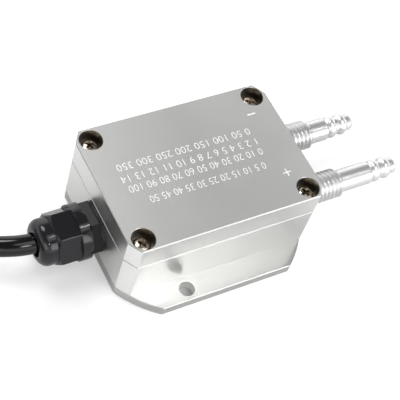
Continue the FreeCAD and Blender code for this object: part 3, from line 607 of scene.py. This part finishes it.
axis_z = 0.0092
wall_in = 0.02775
thread_end = 0.04895
thread_r = 0.00488
root_r = 0.0040
pitch = 0.0015
bore_r = 0.0011
nipple_l = 0.0070
nipple_tip_r = 0.0016
nipple_r = 0.0020
relief_r = 0.0036
shank_r = 0.0038
bead_first = 0.0023
bead_pitch = 0.0041
bead_half_l = 0.0016
bead_valley_r = 0.0028
nose_l = 0.0043
nose_round = 0.0013
nose_flat_r = 0.0015


def bead(centre, ridge, valley):
    # The round outline of a barb, from the valley before it to the one behind
    rise = ridge - valley
    radius = (bead_half_l * bead_half_l + rise * rise) / (2 * rise)
    points = []
    for i in range(9):
        along = bead_half_l * (i / 4 - 1)
        points.append((centre + along, ridge - radius + math.sqrt(radius * radius - along * along)))
    return points


def hose_fitting(name, y, shank_l, node):
    bm = bmesh.new()
    start = (0.0, y, axis_z)
    # Inner nipple and the plain end of the thread
    nipple_x = wall_in - nipple_l
    turned(bm, [
        (nipple_x, bore_r), (nipple_x, nipple_tip_r), (nipple_x + 0.0008, nipple_r), (wall_in, nipple_r),
        (wall_in, root_r), (wall_in + 0.0015, root_r), (wall_in + 0.0015, bore_r), (nipple_x, bore_r),
    ], start, (1, 0, 0), 32)
    # Shank, two barbs and nose
    core_x = thread_end - 0.0010
    relief_x = thread_end + 0.0005
    shank_x = relief_x + shank_l
    one = shank_x + bead_first
    two = one + bead_pitch
    end = two + nose_l
    nose = [
        (end - nose_round + nose_round * math.sin(a), nose_flat_r + nose_round * math.cos(a))
        for a in (0.0, 0.4, 0.8, 1.2, math.pi / 2)
    ]
    turned(bm, [
        (core_x, bore_r), (core_x, relief_r), (relief_x, relief_r), (relief_x, 0.0037),
        (relief_x + 0.0001, shank_r), (shank_x - 0.0002, shank_r),
    ] + bead(one, 0.0037, bead_valley_r) + bead(two, 0.0036, bead_valley_r) + nose + [
        (end, bore_r), (core_x, bore_r),
    ], start, (1, 0, 0), 48)
    # Thread: the outline of one pitch, wound on, then faced at both ends
    steps = 48
    turns = 17
    winding = bmesh.new()
    outline = [(0.0, root_r), (0.00047, thread_r), (0.00066, thread_r), (0.00113, root_r), (pitch, root_r)]
    verts = [winding.verts.new((wall_in - 0.0030 + a, y + r, axis_z)) for a, r in outline]
    edges = [winding.edges.new(pair) for pair in zip(verts, verts[1:])]
    bmesh.ops.spin(
        winding, geom=verts + edges, cent=start, axis=(1, 0, 0), dvec=(pitch / steps, 0, 0),
        angle=2 * math.pi * turns, steps=steps * turns, use_merge=False, use_duplicate=False,
    )
    bmesh.ops.remove_doubles(winding, verts=winding.verts, dist=1e-6)
    for face_x, outwards in ((wall_in + 0.0006, -1), (thread_end - 0.0003, 1)):
        bmesh.ops.bisect_plane(
            winding, geom=list(winding.verts) + list(winding.edges) + list(winding.faces), dist=1e-8,
            plane_co=(face_x, 0, 0), plane_no=(outwards, 0, 0), clear_outer=True,
        )
    bmesh.ops.remove_doubles(winding, verts=winding.verts, dist=1e-6)
    open_edges = [e for e in winding.edges if e.is_boundary]
    bmesh.ops.holes_fill(winding, edges=open_edges, sides=0)
    bmesh.ops.triangulate(winding, faces=[f for f in winding.faces if len(f.verts) > 4])
    mesh = bpy.data.meshes.new("winding")
    winding.to_mesh(mesh)
    winding.free()
    bm.from_mesh(mesh)
    bpy.data.meshes.remove(mesh)
    fitting = finished(bm, name, bright_nickel, 25.0)
    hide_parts(node)


hose_fitting("high_port_hose_fitting", -0.0102, 0.0117, "high_port_fitting")
hose_fitting("low_port_hose_fitting", 0.0102, 0.0066, "low_port_fitting")


# Sealed inner pieces: a green glass-epoxy board with its sensor, terminals, trimmers and small parts, and
# two short silicone hoses. They are only seen with the cover off.
def plain(name, colour, metallic, low, high, scale):
    # A finish whose roughness varies a little, by a pattern of the given scale
    material = blank(name)
    place = add(material, "ShaderNodeTexCoord")
    cloud = add(
        material, "ShaderNodeTexNoise", {"Scale": scale, "Detail": 3.0}, {"Vector": (place, "Object")}
    )
    rough = add(material, "ShaderNodeMapRange", {"To Min": low, "To Max": high}, {"Value": (cloud, "Fac")})
    bump = add(material, "ShaderNodeBump", {"Strength": 0.08, "Distance": 0.0001}, {"Height": (cloud, "Fac")})
    skin = add(
        material, "ShaderNodeBsdfPrincipled", {"Base Color": linear(colour), "Metallic": metallic},
        {"Roughness": (rough, "Result"), "Normal": (bump, "Normal")},
    )
    add(material, "ShaderNodeOutputMaterial", {}, {"Surface": (skin, "BSDF")})
    return material


paint("circuit_board", plain("glass_epoxy_green", "#1F5A34", 0.0, 0.25, 0.45, 900.0))
paint("board_screws", plain("zinc_plated_steel", "#B9B8B2", 1.0, 0.2, 0.35, 1200.0))
paint("pressure_sensor", plain("moulded_pbt_white", "#D9D6CC", 0.0, 0.4, 0.55, 700.0))
for node in ("high_inner_hose", "low_inner_hose"):
    paint(node, plain("clear_silicone", "#C9CCC8", 0.0, 0.35, 0.5, 500.0))
paint("terminal_block", plain("moulded_polyamide_green", "#2E7D4F", 0.0, 0.35, 0.5, 700.0))
paint("terminal_screws", plain("nickel_plated_brass", "#C9C5BA", 1.0, 0.2, 0.35, 1200.0))
for node in ("signal_chip", "voltage_regulator"):
    paint(node, plain("moulded_epoxy_black", "#1B1C1E", 0.0, 0.45, 0.6, 1500.0))
paint("smoothing_capacitor", plain("drawn_aluminium_can", "#C8C9CA", 1.0, 0.2, 0.3, 800.0))
for node in ("zero_trimmer", "span_trimmer"):
    paint(node, plain("moulded_plastic_blue", "#1F5FA8", 0.0, 0.35, 0.5, 800.0))
paint("chip_resistors", plain("fired_resistor_paste", "#202225", 0.0, 0.3, 0.45, 2000.0))
paint("chip_capacitors", plain("fired_ceramic_tan", "#A88A62", 0.0, 0.35, 0.5, 2000.0))
for node in ("inner_core_red", "end_core_red"):
    paint(node, plain("extruded_pvc_red", "#B5201E", 0.0, 0.25, 0.4, 600.0))
for node in ("inner_core_black", "end_core_black"):
    paint(node, plain("extruded_pvc_core_black", "#17171A", 0.0, 0.25, 0.4, 600.0))
paint("end_sleeves", plain("tinned_copper", "#C7C6C2", 1.0, 0.22, 0.38, 1500.0))
